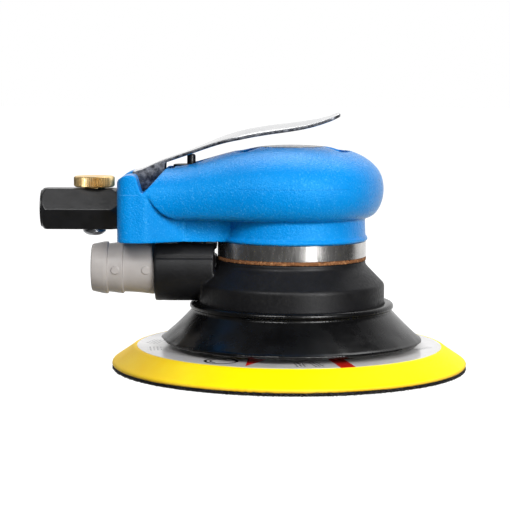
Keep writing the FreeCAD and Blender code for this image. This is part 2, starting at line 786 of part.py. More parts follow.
def palm_curve(half_width, top):
    """Palm profile as one curve from the -Y edge over the crown to the +Y edge, in the YZ plane."""
    across = half_width / PALM_RADIUS
    upward = (top - PALM_BOTTOM) / (PALM_TOP - PALM_BOTTOM)
    right = [V(0, r * across, PALM_BOTTOM + (z - PALM_BOTTOM) * upward) for r, z in PALM_PROFILE]
    left = [V(0, -point.y, point.z) for point in right]
    curve = Part.BSplineCurve()
    curve.interpolate(left + [V(0, 0, top)] + right[::-1])
    return curve


def palm_section(x, half_width, top):
    curve = palm_curve(half_width, top).toShape()
    ends = [vertex.Point for vertex in curve.Vertexes]
    base = Part.LineSegment(ends[1], ends[0]).toShape()
    return Part.Wire([curve, base]).translated(V(x, 0, 0))


def palm_front():
    """Half of a turned dome, on the +X side of the motor's axis."""
    curve = palm_curve(PALM_RADIUS, PALM_TOP)
    crown = (curve.FirstParameter + curve.LastParameter) / 2
    half = curve.toShape(crown, curve.LastParameter)
    top = V(0, 0, PALM_TOP)
    foot = V(0, 0, PALM_BOTTOM)
    edge = V(0, PALM_PROFILE[0][0], PALM_BOTTOM)
    sides = [Part.LineSegment(edge, foot).toShape(), Part.LineSegment(foot, top).toShape()]
    return outward(Part.Face(Part.Wire([half] + sides)).revolve(V(0, 0, 0), UP, -180))


def palm_rear():
    """The palm's tapering half, with a rounded lower end and a slope down to the valley."""
    loft = Part.makeLoft([palm_section(*section) for section in PALM_SECTIONS], True, False)
    side = side_block(
        [
            (0, PALM_BOTTOM - 1),
            (-46.5, PALM_BOTTOM - 1),
            (-46.5, PALM_BOTTOM),
            ((-54.1, 66.9), (-59.2, VALLEY_Z)),
            (-61.35, VALLEY_Z),
            (-52.7, 84.2),
            ((-51.7, 84.9), (-50.4, 85.15)),
            (-50.4, PALM_TOP + 5),
            (0, PALM_TOP + 5),
        ],
        -50,
        50,
    )
    return outward(loft).common(side)


def palm():
    return joined(palm_front(), palm_rear())


def drum():
    return turned(
        [
            (0, RING_TOP),
            (BEAD_RADIUS - 0.4, RING_TOP),
            ((BEAD_RADIUS, RING_TOP + 0.8), (BEAD_RADIUS - 0.35, BEAD_TOP)),
            (DRUM_TOP_RADIUS + 0.35, BEAD_TOP + 0.1),
            (DRUM_TOP_RADIUS, DRUM_TOP + 0.5),
            (0, DRUM_TOP + 0.5),
        ]
    )


def mirrored(point):
    """Plan point on the other side of the XZ plane."""
    return point[0], -point[1]


def waist_blend():
    """Start, middle and end, in plan, of the hollow arc from the waist's -Y side into the drum."""
    drum_radius = DRUM_TOP_RADIUS - 0.2
    reach = drum_radius + WAIST_BLEND
    centre_y = -WAIST_HALF_WIDTH - WAIST_BLEND
    centre_x = -math.sqrt(reach**2 - centre_y**2)
    slant = math.atan2(-centre_y, -centre_x)
    middle = (slant + math.pi / 2) / 2
    points = []
    for angle in (math.pi / 2, middle, slant):
        x = centre_x + WAIST_BLEND * math.cos(angle)
        points.append((x, centre_y + WAIST_BLEND * math.sin(angle)))
    return points


def throttle_block():
    """Block at the inlet end, slanting in to the waist, with a valley in front of its top."""
    width = BLOCK_HALF_WIDTH
    waist = WAIST_HALF_WIDTH
    start, middle, end = waist_blend()
    plan = plan_block(
        [
            (BLOCK_REAR, -width),
            (-60.0, -width),
            (-45.0, -waist),
            start,
            (middle, end),
            mirrored(end),
            (mirrored(middle), mirrored(start)),
            (-45.0, waist),
            (-60.0, width),
            (BLOCK_REAR, width),
        ],
        RING_TOP,
        90,
    )
    plan = rounded(plan, 5.5, lambda edge: is_upright(edge) and edge.CenterOfMass.x < -50)
    side = side_block(
        [
            (BLOCK_REAR - 1, RING_TOP),
            (BLOCK_REAR - 1, 78.6),
            (BLOCK_REAR, 78.6),
            ((-71.6, 80.1), (-70.5, 80.9)),
            ((-67.6, 82.2), (-65.4, 82.2)),
            ((-64.2, 81.4), (-63.6, 79.9)),
            (-62.5, 76.2),
            ((-62.0, 75.2), (-61.2, VALLEY_Z)),
            (-20, VALLEY_Z),
            (-20, RING_TOP),
        ],
        -30,
        30,
    )
    return plan.common(side)


def crown_above(drop, radius):
    """All that is above the palm's own surface lowered by drop, within a radius of the motor's axis."""
    disc = cylinder(radius, PALM_TOP - 8, PALM_TOP + 3)
    return disc.cut(palm().translated(V(0, 0, -drop)))


def crown_scoops():
    """Two lens-shaped hollows of even depth at the front and rear of the crown."""
    hollow = crown_above(SCOOP_DEPTH, CROWN_RADIUS)
    low, high = PALM_TOP - 9, PALM_TOP + 4
    return [hollow.common(cylinder(SCOOP_RADIUS, low, high, x)) for x in (-SCOOP_X, SCOOP_X)]


def lever_slot():
    return side_block(
        [
            (-70.5, 95),
            (-70.5, 77.5),
            ((-69.4, 74.9), (-67.0, 73.9)),
            (-60.0, 73.9),
            (-57.0, 75.3),
            (-49.0, 83.3),
            (-49.0, 95),
        ],
        -SLOT_HALF_WIDTH,
        SLOT_HALF_WIDTH,
    )


def motor_cavity():
    return joined(
        cylinder(RING_THREAD_RADIUS, RING_TOP, RING_THREAD_TOP + 0.2),
        cylinder(MOTOR_CAVITY_RADIUS, RING_THREAD_TOP, REAR_PLATE_TOP),
        cylinder(14.2, REAR_PLATE_TOP, 88.0),
    )


def air_ways():
    """Bores for the inlet bushing, valve, seat, stem and guide, and the inlet and exhaust ducts."""
    return [
        rod_along_x(BUSHING_BODY_RADIUS, BLOCK_REAR - 1, BUSHING_END),
        rod_along_x(VALVE_CHAMBER_RADIUS, BUSHING_END, SEAT_FACE),
        rod_along_x(SEAT_RADIUS, SEAT_FACE, SEAT_END),
        rod_along_x(5.0, SEAT_END, -36.0),
        rod_along_x(4.0, -36.0, -20.0),
        cylinder(3.0, AIR_Z, GUIDE_BOTTOM - 1, STEM_X),
        cylinder(2.2, AIR_Z, GUIDE_BOTTOM, STEM_X),
        cylinder(GUIDE_RADIUS, GUIDE_BOTTOM, GUIDE_FLANGE_BOTTOM, STEM_X),
        cylinder(GUIDE_FLANGE_RADIUS, GUIDE_FLANGE_BOTTOM, 95, STEM_X),
        exhaust_duct(-20),
        box((NOZZLE_X - 3, NOZZLE_X + 3), (7.0, 11.5), (RING_TOP, 71.5)),
        box((NOZZLE_X - 3, NOZZLE_X + 3), (-3.5, 11.5), (RING_TOP, 57.0)),
    ]


def housing():
    """Moulded housing: drum, palm grip and throttle block in one piece."""
    body = joined(palm(), drum(), throttle_block())
    pin_bore = rod_along_y(PIN_RADIUS, PIN_START, BLOCK_HALF_WIDTH + 1, PIVOT_X, PIVOT_Z)
    label_seat = crown_above(TOP_LABEL_THICKNESS, LABEL_SEAT_RADIUS)
    cuts = [motor_cavity(), lever_slot(), pin_bore, label_seat]
    return without(body, *(cuts + crown_scoops() + air_ways()))


def top_label():
    """Thin domed disc, flush with the boss on the palm's crown."""
    return crown_above(TOP_LABEL_THICKNESS, TOP_LABEL_RADIUS).cut(crown_above(0, TOP_LABEL_RADIUS + 1))


# ---- throttle ----


def lever_sheet():
    """Crowned sheet, wider than the lever, from a smooth surface through the lever's sections."""
    rows = []
    for x, edge_z, half_width, crown in LEVER_SECTIONS:
        row = []
        for share in (-1, -0.5, 0, 0.5, 1):
            y = share * LEVER_SHEET_HALF_WIDTH
            row.append(V(x, y, edge_z + crown * (1 - (y / half_width) ** 2)))
        rows.append(row)
    underside = Part.BSplineSurface()
    underside.interpolate(rows)
    return outward(underside.toShape().extrude(V(0, 0, LEVER_THICKNESS)))


def lever_plan():
    """Plan of the lever: narrow at the pivot, a wide paddle and rounded corners at the tip."""
    base = LEVER_BASE_HALF_WIDTH
    wide = LEVER_HALF_WIDTH
    corner = LEVER_CORNER_RADIUS
    cut = corner * (1 - math.sqrt(0.5))
    steps = [
        (-66.3, -base),
        (-50.0, -base),
        ((-36.0, -11.5), (-22.0, -wide)),
        (LEVER_TIP - corner, -wide),
        ((LEVER_TIP - cut, -wide + cut), (LEVER_TIP, -wide + corner)),
        (LEVER_TIP, wide - corner),
        ((LEVER_TIP - cut, wide - cut), (LEVER_TIP - corner, wide)),
        (-22.0, wide),
        ((-36.0, 11.5), (-50.0, base)),
        (-66.3, base),
    ]
    return plan_block(steps, 75, 115)


def lever_flange(outside):
    """Side flange that hangs round the pivot pin; outside is the y of its outer face."""
    inside = outside - math.copysign(LEVER_FLANGE_THICKNESS, outside)
    return side_block(
        [
            (-66.3, 82.4),
            (-69.42, 78.6),
            ((-69.42, 75.8), (-66.04, 74.57)),
            ((-62.5, 74.9), (-59.6, 76.4)),
            (-53.2, 83.0),
            (-53.0, 87.1),
        ],
        min(inside, outside),
        max(inside, outside),
    )


def throttle_lever():
    """Pressed sheet lever: crowned paddle and two side flanges round the pin."""
    paddle = lever_sheet().common(lever_plan())
    base = LEVER_BASE_HALF_WIDTH
    body = joined(paddle, lever_flange(-base), lever_flange(base))
    return body.cut(rod_along_y(PIN_RADIUS + 0.05, -base - 1, base + 1, PIVOT_X, PIVOT_Z))


def lever_pin():
    return rod_along_y(PIN_RADIUS, PIN_START, PIN_END, PIVOT_X, PIVOT_Z)


def valve_stem():
    """Plunger between the lever and the tip valve: a rounded cap, a ball end and a collar."""
    low = STEM_BOTTOM + STEM_RADIUS
    plunger = cylinder(STEM_RADIUS, low, STEM_TOP, STEM_X)
    plunger = rounded(plunger, STEM_CAP, lambda edge: abs(edge.CenterOfMass.z - STEM_TOP) < 0.01)
    ball_end = Part.makeSphere(STEM_RADIUS, V(STEM_X, 0, low))
    return joined(plunger, ball_end, cylinder(2.6, 70.5, 71.7, STEM_X))


def stem_guide():
    """Flanged bush that guides the stem, with a recess underneath for its O-ring."""
    body = joined(
        cylinder(GUIDE_RADIUS, GUIDE_BOTTOM, GUIDE_FLANGE_BOTTOM, STEM_X),
        cylinder(GUIDE_FLANGE_RADIUS, GUIDE_FLANGE_BOTTOM, GUIDE_TOP, STEM_X),
    )
    body = rounded(body, 0.4, lambda edge: abs(edge.CenterOfMass.z - GUIDE_TOP) < 0.01)
    hole = cylinder(STEM_RADIUS + 0.05, GUIDE_BOTTOM, GUIDE_TOP, STEM_X)
    recess = cylinder(3.2, GUIDE_BOTTOM, GUIDE_BOTTOM + 1.5, STEM_X)
    return without(body, hole, recess)


def stem_o_ring():
    return Part.makeTorus(2.5, 0.68, V(STEM_X, 0, GUIDE_BOTTOM + 0.75), UP)


def valve_seat():
    return rod_along_x(SEAT_RADIUS, SEAT_FACE, SEAT_END).cut(rod_along_x(3.5, SEAT_FACE, SEAT_END))


def throttle_valve():
    """Tilting tip valve: a disc with a rod that reaches under the stem."""
    return joined(
        rod_along_x(VALVE_HEAD_RADIUS, SEAT_FACE - 2.7, SEAT_FACE - 1.0),
        rod_along_x(VALVE_ROD_RADIUS, SEAT_FACE - 1.0, VALVE_ROD_END),
    )


def valve_face_seal():
    ring = rod_along_x(VALVE_HEAD_RADIUS, SEAT_FACE - 1.0, SEAT_FACE)
    return ring.cut(rod_along_x(VALVE_ROD_RADIUS, SEAT_FACE - 1.0, SEAT_FACE))


def valve_spring():
    """Conical coil between the inlet bushing and the back of the tip valve."""
    height = SPRING_END - SPRING_START
    flare = math.degrees(math.atan((SPRING_BASE_RADIUS - SPRING_TIP_RADIUS) / height))
    helix = Part.makeHelix(height / SPRING_TURNS, height, SPRING_TIP_RADIUS, flare)
    wire = Part.Wire(
        Part.Circle(V(SPRING_TIP_RADIUS, 0, 0), ALONG_Y, SPRING_WIRE_RADIUS).toShape()
    )
    coil = Part.Wire(helix).makePipeShell([wire], True, True)
    coil.rotate(V(0, 0, 0), ALONG_Y, -90)
    return outward(coil.translated(V(SPRING_END, 0, AIR_Z)))


# ---- air inlet and regulator ----


def hex_bar():
    """Hexagonal bar along the air axis, with both ends chamfered to a circle."""
    points = [(a, b) for a, b in hexagon(HEX_FLATS)]
    faces = outline(points, lambda a, b: V(HEX_START, a, AIR_Z + b))
    bar = outward(faces.extrude(V(BLOCK_REAR - HEX_START, 0, 0)))
    corner = HEX_FLATS / 2 / math.cos(math.radians(30))
    chamfers = turned_along_x(
        [
            (HEX_START, 0),
            (HEX_START, HEX_END_RADIUS),
            (HEX_START + 1.6, corner + 0.1),
            (BLOCK_REAR - 3.8, corner + 0.1),
            (BLOCK_REAR, HEX_END_RADIUS),
            (BLOCK_REAR, 0),
        ],
        AIR_Z,
    )
    return bar.common(chamfers)


def inlet_bushing():
    lip = rod_along_x(7.8, INLET_FACE, HEX_START)
    body = joined(hex_bar(), lip, rod_along_x(BUSHING_BODY_RADIUS, BLOCK_REAR, BUSHING_END))
    thread = rod_along_x(THREAD_RADIUS, INLET_FACE, INLET_FACE + THREAD_DEPTH)
    screen_seat = rod_along_x(SCREEN_RADIUS, INLET_FACE + THREAD_DEPTH, SCREEN_END)
    passage = rod_along_x(PASSAGE_RADIUS, SCREEN_END, BUSHING_END)
    spring_seat = rod_along_x(5.2, SPRING_START - SPRING_WIRE_RADIUS, BUSHING_END)
    spool_bore = cylinder(SPOOL_BORE_RADIUS, 50, 85, REGULATOR_X)
    start, end = INLET_SEAL_X - 0.7, INLET_SEAL_X + 0.7
    seal_groove = rod_along_x(BUSHING_BODY_RADIUS, start, end).cut(rod_along_x(6.6, start, end))
    return without(body, thread, screen_seat, passage, spring_seat, spool_bore, seal_groove)


def inlet_o_ring():
    return Part.makeTorus(7.3, 0.68, V(INLET_SEAL_X, 0, AIR_Z), ALONG_X)


def inlet_screen():
    """Perforated disc in its own seat past the end of the inlet's thread."""
    start = INLET_FACE + THREAD_DEPTH
    holes = []
    for ring, count in ((0.0, 1), (1.3, 6), (2.6, 12)):
        for number in range(count):
            angle = 2 * math.pi * number / count
            centre = V(start, ring * math.cos(angle), AIR_Z + ring * math.sin(angle))
            holes.append(Part.makeCylinder(0.4, SCREEN_END - start, centre, ALONG_X))
    return without(rod_along_x(SCREEN_RADIUS, start, SCREEN_END), *holes)


def regulator_spool():
    """Turning plug with a cross hole that opens or closes the air way."""
    body = joined(
        cylinder(SPOOL_RADIUS, AIR_Z - HEX_FLATS / 2, KNOB_BOTTOM, REGULATOR_X),
        cylinder(2.5, KNOB_BOTTOM, KNOB_TOP - 1.6, REGULATOR_X),
    )
    way = rod_along_x(3.3, REGULATOR_X - 6, REGULATOR_X + 6)
    screw_thread = cylinder(1.5, AIR_Z - HEX_FLATS / 2, 63.0, REGULATOR_X)
    grooves = [tube(SPOOL_RADIUS, 3.0, z - 0.8, z + 0.8, REGULATOR_X) for z in (61.4, 72.8)]
    return without(body, way, screw_thread, *grooves)


def regulator_o_rings():
    rings = [Part.makeTorus(3.74, 0.7, V(REGULATOR_X, 0, z), UP) for z in (61.4, 72.8)]
    return Part.makeCompound(rings)


def regulator_knob():
    """Knurled brass knob with chamfered rims and a screwdriver slot on top."""
    points = []
    for tooth in range(2 * KNURLS):
        radius = KNOB_RADIUS - KNURL_DEPTH * (tooth % 2)
        x, y = around(radius, 180 * tooth / KNURLS)
        points.append((REGULATOR_X + x, y))
    rim = plan_block(points, KNOB_BOTTOM, KNOB_TOP)
    chamfered = turned(
        [
            (0, KNOB_BOTTOM),
            (KNOB_RADIUS - 0.6, KNOB_BOTTOM),
            (KNOB_RADIUS + 0.1, KNOB_BOTTOM + 0.7),
            (KNOB_RADIUS + 0.1, KNOB_TOP - 0.7),
            (KNOB_RADIUS - 0.6, KNOB_TOP),
            (0, KNOB_TOP),
        ],
        REGULATOR_X,
    )
    neck_hole = cylinder(2.5, KNOB_BOTTOM, KNOB_TOP - 1.6, REGULATOR_X)
    slot = box((REGULATOR_X - 5, REGULATOR_X + 5), (-0.6, 0.6), (KNOB_TOP - 0.9, KNOB_TOP))
    return without(rim.common(chamfered), neck_hole, slot)


def regulator_washer():
    bottom = AIR_Z - HEX_FLATS / 2
    return tube(3.6, 1.5, bottom - 0.35, bottom, REGULATOR_X)


def regulator_screw():
    """Pan-head screw under the bushing, with a cross recess."""
    top = AIR_Z - HEX_FLATS / 2 - 0.35
    head = turned(
        [
            (0, top),
            (SCREW_HEAD_RADIUS, top),
            (SCREW_HEAD_RADIUS, top - 0.7),
            ((3.6, top - 1.75), (0, top - 2.1)),
        ],
        REGULATOR_X,
    )
    shank = cylinder(1.5, top, 62.5, REGULATOR_X)
    long_slot = box((REGULATOR_X - 2.2, REGULATOR_X + 2.2), (-0.4, 0.4), (top - 3, top - 1.1))
    cross_slot = box((REGULATOR_X - 0.4, REGULATOR_X + 0.4), (-2.2, 2.2), (top - 3, top - 1.1))
    return without(joined(head, shank), long_slot, cross_slot)


def bearings():
    """Every race and ball set, by node name."""
    front = bearing(FRONT_BEARING, FRONT_BEARING_BOTTOM)
    rear = bearing(REAR_BEARING, REAR_BEARING_BOTTOM)
    lower = bearing(SPINDLE_BEARING, SPINDLE_BEARING_BOTTOM, PAD_X, PAD_Y)
    upper_bottom = SPINDLE_BEARING_BOTTOM + SPINDLE_BEARING["width"]
    upper = bearing(SPINDLE_BEARING, upper_bottom, PAD_X, PAD_Y)
    pair = [Part.makeCompound([low, high]) for low, high in zip(lower, upper)]
    made = {}
    for name, races in (("front_bearing", front), ("rear_bearing", rear), ("spindle_bearing", pair)):
        for piece, shape in zip(("inner_race", "outer_race", "balls"), races):
            made[name + "_" + piece] = shape
    return made


def pieces():
    """Every node's name and shape."""
    made = {
        "housing": housing(),
        "top_label": top_label(),
        "throttle_lever": throttle_lever(),
        "lever_pin": lever_pin(),
        "valve_stem": valve_stem(),
        "stem_guide": stem_guide(),
        "stem_o_ring": stem_o_ring(),
        "valve_seat": valve_seat(),
        "throttle_valve": throttle_valve(),
        "valve_face_seal": valve_face_seal(),
        "valve_spring": valve_spring(),
        "inlet_bushing": inlet_bushing(),
        "inlet_o_ring": inlet_o_ring(),
        "inlet_screen": inlet_screen(),
        "regulator_spool": regulator_spool(),
        "regulator_o_rings": regulator_o_rings(),
        "regulator_knob": regulator_knob(),
        "regulator_washer": regulator_washer(),
        "regulator_screw": regulator_screw(),
        "lock_ring": lock_ring(),
        "motor_cylinder": motor_cylinder(),
        "front_end_plate": front_end_plate(),
        "rear_end_plate": rear_end_plate(),
        "cylinder_dowels": Part.makeCompound(dowels()),
        "motor_seal": motor_seal(),
        "rotor": rotor(),
        "rotor_vanes": vanes(),
        "rotor_key": rotor_key(),
        "shaft_balancer": shaft_balancer(),
        "shroud_gasket": shroud_gasket(),
        "shroud": shroud(),
        "shroud_screws": shroud_screws(),
        "skirt": skirt(),
        "ejector_nozzle": ejector_nozzle(),
        "exhaust_seal": exhaust_seal(),
        "hose_fitting": hose_fitting(),
        "fitting_o_ring": fitting_o_ring(),
        "fitting_set_screw": fitting_set_screw(),
        "dust_shield": dust_shield(),
        "spindle_circlip": spindle_circlip(),
        "spindle": spindle(),
        "spindle_screw": spindle_screw(),
        "pad_plate": pad_plate(),
        "pad_stud": pad_stud(),
        "pad_label": pad_label(),
        "pad_foam": pad_foam(),
        "pad_hook_face": pad_hook_face(),
    }
    made.update(bearings())
    return made


os.makedirs(PARTS, exist_ok=True)
for name, shape in pieces().items():
    solids = shape.Solids
    if not solids or not shape.isValid() or min(solid.Volume for solid in solids) <= 0:
        raise RuntimeError(name + " is not a sound solid")
    whole = solids[0] if len(solids) == 1 else Part.makeCompound(solids)
    whole.exportStep(os.path.join(PARTS, name + ".step"))
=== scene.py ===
import bpy
import math
import random
from mathutils import Matrix, Vector, noise
from mathutils.bvhtree import BVHTree


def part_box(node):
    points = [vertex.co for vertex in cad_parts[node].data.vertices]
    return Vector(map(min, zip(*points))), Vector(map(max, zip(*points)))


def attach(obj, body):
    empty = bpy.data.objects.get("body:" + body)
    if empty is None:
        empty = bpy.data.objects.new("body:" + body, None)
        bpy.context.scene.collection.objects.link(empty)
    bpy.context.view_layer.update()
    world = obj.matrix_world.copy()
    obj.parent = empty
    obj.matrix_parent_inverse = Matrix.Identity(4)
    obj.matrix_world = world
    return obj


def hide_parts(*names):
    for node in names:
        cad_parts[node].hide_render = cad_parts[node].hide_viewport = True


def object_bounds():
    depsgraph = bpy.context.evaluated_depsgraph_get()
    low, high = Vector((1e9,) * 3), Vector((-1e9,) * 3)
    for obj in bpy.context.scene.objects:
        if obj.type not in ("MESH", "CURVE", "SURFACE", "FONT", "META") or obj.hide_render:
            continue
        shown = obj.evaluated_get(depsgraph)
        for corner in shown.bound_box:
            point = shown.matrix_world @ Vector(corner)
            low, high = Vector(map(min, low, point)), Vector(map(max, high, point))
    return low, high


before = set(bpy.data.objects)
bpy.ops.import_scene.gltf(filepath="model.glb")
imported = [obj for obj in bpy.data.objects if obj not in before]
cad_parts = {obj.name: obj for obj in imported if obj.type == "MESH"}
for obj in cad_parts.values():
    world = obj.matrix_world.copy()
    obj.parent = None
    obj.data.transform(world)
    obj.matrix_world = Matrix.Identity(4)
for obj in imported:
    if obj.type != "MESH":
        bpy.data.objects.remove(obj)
cad_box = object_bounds()

# Metres to the millimetres that this script is written in
MM = 0.001

# ---- sizes that come from the frame, in millimetres ----


def span(node):
    """Lowest and highest corner of a CAD node, in millimetres."""
    low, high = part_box(node)
    return low / MM, high / MM


HOOK_LOW, HOOK_HIGH = span("pad_hook_face")
PAD_X = (HOOK_LOW.x + HOOK_HIGH.x) / 2
PAD_Y = (HOOK_LOW.y + HOOK_HIGH.y) / 2
HOOK_RADIUS = (HOOK_HIGH.x - HOOK_LOW.x) / 2
HOOK_TOP = HOOK_HIGH.z
SKIRT_LOW, SKIRT_HIGH = span("skirt")

# Camera, found from the photograph's perspective
CAMERA_AT = (-15.48, -750.0, 123.1)
CAMERA_PITCH = -5.75
CAMERA_ROLL = 0.26
CAMERA_LENS = 126.35

# The housing's parting lines: heights, where they end along X, half width and soft edge
PALM_SEAM_Z = 77.4
PALM_SEAM_END = 21.0
BLOCK_SEAM_Z = 74.1
BLOCK_SEAM_END = -63.0
SEAM_HALF_WIDTH = 0.04
SEAM_SOFT = 0.16

# Foam: it turns browner to the left, as painted shade, between these places from the pad's middle, which its
# clouds shift by up to the drift, and browner at the rim's lower edge between these heights
PAINTED_SHADE_FROM_X = -62.0
PAINTED_SHADE_TO_X = -15.0
PAINTED_SHADE_DRIFT = 12.0
RIM_BROWN_Z = 1.8
RIM_YELLOW_Z = 3.6

# Marks on the pad's label: radius, angle and turn from the radius, in mm and degrees
RED_WEDGE = (62.0, -107.1, 182.3)
WEDGE_LENGTH = 24.0
WEDGE_FLARE = 0.2
RED_BAND = (52.0, -67.8, -11.0)
BAND_HALF_LENGTH = 15.0
BAND_HALF_WIDTH = 3.1
# Rings: places, then radius and half width of the full ring and of the half ring inside it
LABEL_RINGS = [(54.4, -120.9), (54.4, 62.0)]
FULL_RING = (6.4, 0.55)
HALF_RING = (4.3, 0.35)
DASH_HALF_LENGTH = 5.5
DASH_PITCH = 1.3
ROW_PITCH = 1.5
# Rows of dashes: radius, angle, turn, number of rows and grey value
LABEL_DASHES = [
    (54.4, -86.3, 4.0, 3, 110),
    (55.1, -79.3, 4.0, 3, 70),
    (57.4, 175.0, 80.0, 4, 120),
    (57.9, -165.4, 80.0, 4, 110),
    (57.0, -12.0, 60.0, 2, 120),
    (55.0, 30.0, 4.0, 4, 90),
    (55.0, 100.0, 4.0, 4, 90),
    (55.0, 140.0, 80.0, 3, 120),
]

# Rings on the crown's label: radius and half width
CROWN_RINGS = [(11.2, 0.3), (5.0, 1.2)]

# ---- material helpers ----


def tone(red, green, blue):
    """Scene-linear colour from the 0-255 display values."""
    made = []
    for value in (red, green, blue):
        share = value / 255
        made.append(share / 12.92 if share <= 0.04045 else ((share + 0.055) / 1.055) ** 2.4)
    return (*made, 1.0)


class Wiring:
    """Short ways to add and wire the nodes of one node tree."""

    def __init__(self, tree):
        self.tree = tree

    def node(self, kind, **values):
        made = self.tree.nodes.new(kind)
        for name, value in values.items():
            setattr(made, name, value)
        return made

    def wire(self, source, target):
        self.tree.links.new(source, target)

    def feed(self, target, value):
        """Wires a socket, or sets a constant."""
        if isinstance(value, bpy.types.NodeSocket):
            self.wire(value, target)
        else:
            target.default_value = value

    def math(self, operation, *values):
        made = self.node("ShaderNodeMath", operation=operation)
        for target, value in zip(made.inputs, values):
            self.feed(target, value)
        return made.outputs["Value"]

    def graded(self, value, start, end, first, last, interpolation="SMOOTHSTEP"):
        """From first to last while the value goes from start to end."""
        made = self.node("ShaderNodeMapRange", interpolation_type=interpolation)
        self.wire(value, made.inputs["Value"])
        made.inputs["From Min"].default_value = start
        made.inputs["From Max"].default_value = end
        made.inputs["To Min"].default_value = first
        made.inputs["To Max"].default_value = last
        return made.outputs["Result"]


class Surface(Wiring):
    """One node-based material: its shader, and ways to put textures on it."""

    def __init__(self, name, **values):
        self.material = bpy.data.materials.new(name)
        self.material.use_nodes = True
        super().__init__(self.material.node_tree)
        self.shader = self.tree.nodes["Principled BSDF"]
        self.place = self.node("ShaderNodeTexCoord").outputs["Object"]
        for socket, value in values.items():
            self.shader.inputs[socket.replace("_", " ")].default_value = value

    def stretched(self, x, y, z):
        """The object's coordinates scaled along each axis."""
        mapping = self.node("ShaderNodeMapping")
        mapping.inputs["Scale"].default_value = (x, y, z)
        self.wire(self.place, mapping.inputs["Vector"])
        return mapping.outputs["Vector"]

    def noise(self, scale, detail=3.0, roughness=0.5, place=None):
        made = self.node("ShaderNodeTexNoise")
        self.wire(place or self.place, made.inputs["Vector"])
        made.inputs["Scale"].default_value = scale
        made.inputs["Detail"].default_value = detail
        made.inputs["Roughness"].default_value = roughness
        return made.outputs["Fac"]

    def cells(self, scale, feature="F1", place=None):
        made = self.node("ShaderNodeTexVoronoi", feature=feature)
        self.wire(place or self.place, made.inputs["Vector"])
        made.inputs["Scale"].default_value = scale
        return made.outputs["Distance"]

    def ramp(self, value, stops):
        """Colours or greys by value. A stop is (position, colour) or (position, grey)."""
        made = self.node("ShaderNodeValToRGB")
        self.wire(value, made.inputs["Fac"])
        elements = made.color_ramp.elements
        while len(elements) < len(stops):
            elements.new(0.5)
        for element, (position, colour) in zip(elements, stops):
            element.position = position
            element.color = colour if hasattr(colour, "__len__") else (colour, colour, colour, 1.0)
        return made.outputs["Color"]

    def mix(self, share, first, second, blend_type="MIX"):
        made = self.node("ShaderNodeMix", data_type="RGBA", blend_type=blend_type)
        self.feed(made.inputs["Factor"], share)
        self.feed(made.inputs[6], first)
        self.feed(made.inputs[7], second)
        return made.outputs[2]

    def spot(self, x, y, turn):
        """Coordinates from a point, in mm, along a direction in degrees, and across it."""
        mapping = self.node("ShaderNodeMapping", vector_type="TEXTURE")
        mapping.inputs["Location"].default_value = (x * MM, y * MM, 0)
        mapping.inputs["Rotation"].default_value = (0, 0, math.radians(turn))
        self.wire(self.place, mapping.inputs["Vector"])
        return self.axes(mapping.outputs["Vector"])[:2]

    def axes(self, place=None):
        made = self.node("ShaderNodeSeparateXYZ")
        self.wire(place or self.place, made.inputs["Vector"])
        return made.outputs["X"], made.outputs["Y"], made.outputs["Z"]

    def distance(self, first, second):
        """Length of the vector with these two parts."""
        squares = [self.math("MULTIPLY", part, part) for part in (first, second)]
        return self.math("SQRT", self.math("ADD", *squares))

    def band(self, value, middle, half_width, soft):
        """1 within half_width of middle, and 0 past a soft edge."""
        away = self.math("ABSOLUTE", self.math("SUBTRACT", value, middle))
        return self.graded(away, half_width, half_width + soft, 1.0, 0.0)

    def stripe(self, value, middle, half_width, soft):
        """A band whose sizes are in millimetres."""
        return self.band(value, middle * MM, half_width * MM, soft * MM)

    def colour(self, value):
        self.feed(self.shader.inputs["Base Color"], value)

    def roughness(self, value):
        self.feed(self.shader.inputs["Roughness"], value)

    def bump(self, height, depth, strength):
        """Adds a height pattern, its depth in millimetres, on top of any that is already there."""
        made = self.node("ShaderNodeBump")
        made.inputs["Distance"].default_value = depth * MM
        made.inputs["Strength"].default_value = strength
        self.wire(height, made.inputs["Height"])
        before = self.shader.inputs["Normal"].links
        if before:
            self.wire(before[0].from_socket, made.inputs["Normal"])
        self.wire(made.outputs["Normal"], self.shader.inputs["Normal"])


# ---- materials ----


def blue_plastic():
    """Azure glass-filled nylon with a spark-eroded grain, painted glints of pale flecks in its colour, and
    hairline parting lines.
    """
    look = Surface("azure_plastic", Specular_IOR_Level=0.42, Specular_Tint=(0.08, 0.68, 1.0, 1.0))
    drift = look.noise(45, 2)
    # Painted highlight: pale flecks mixed into the colour stand in for glints of the grain
    glint_fleck = look.noise(1500, 2, 0.7)
    base = look.ramp(drift, [(0.3, tone(0, 131, 212)), (0.7, tone(0, 139, 221))])
    with_painted_glints = look.mix(look.ramp(glint_fleck, [(0.58, 0.0), (0.72, 0.45)]), base, tone(104, 200, 252))
    x, y, z = look.axes()
    palm_line = look.stripe(z, PALM_SEAM_Z, SEAM_HALF_WIDTH, SEAM_SOFT)
    palm_seam = look.math("MULTIPLY", palm_line, look.stripe(x, 0, PALM_SEAM_END, 3))
    block_line = look.stripe(z, BLOCK_SEAM_Z, SEAM_HALF_WIDTH, SEAM_SOFT)
    block_seam = look.math("MULTIPLY", block_line, look.math("LESS_THAN", x, BLOCK_SEAM_END * MM))
    darker = look.mix(look.math("MULTIPLY", palm_seam, 0.45), with_painted_glints, tone(0, 92, 178))
    look.colour(look.mix(look.math("MULTIPLY", block_seam, 0.4), darker, tone(90, 176, 240)))
    grit = look.noise(1350, 3, 0.6)
    look.roughness(look.ramp(look.noise(420, 3), [(0.35, 0.26), (0.7, 0.38)]))
    look.bump(grit, 0.36, 0.8)
    look.shader.inputs["Coat Weight"].default_value = 0.2
    look.shader.inputs["Coat Roughness"].default_value = 0.34
    look.shader.inputs["Coat IOR"].default_value = 1.4
    look.wire(look.shader.inputs["Normal"].links[0].from_socket, look.shader.inputs["Coat Normal"])
    return look.material


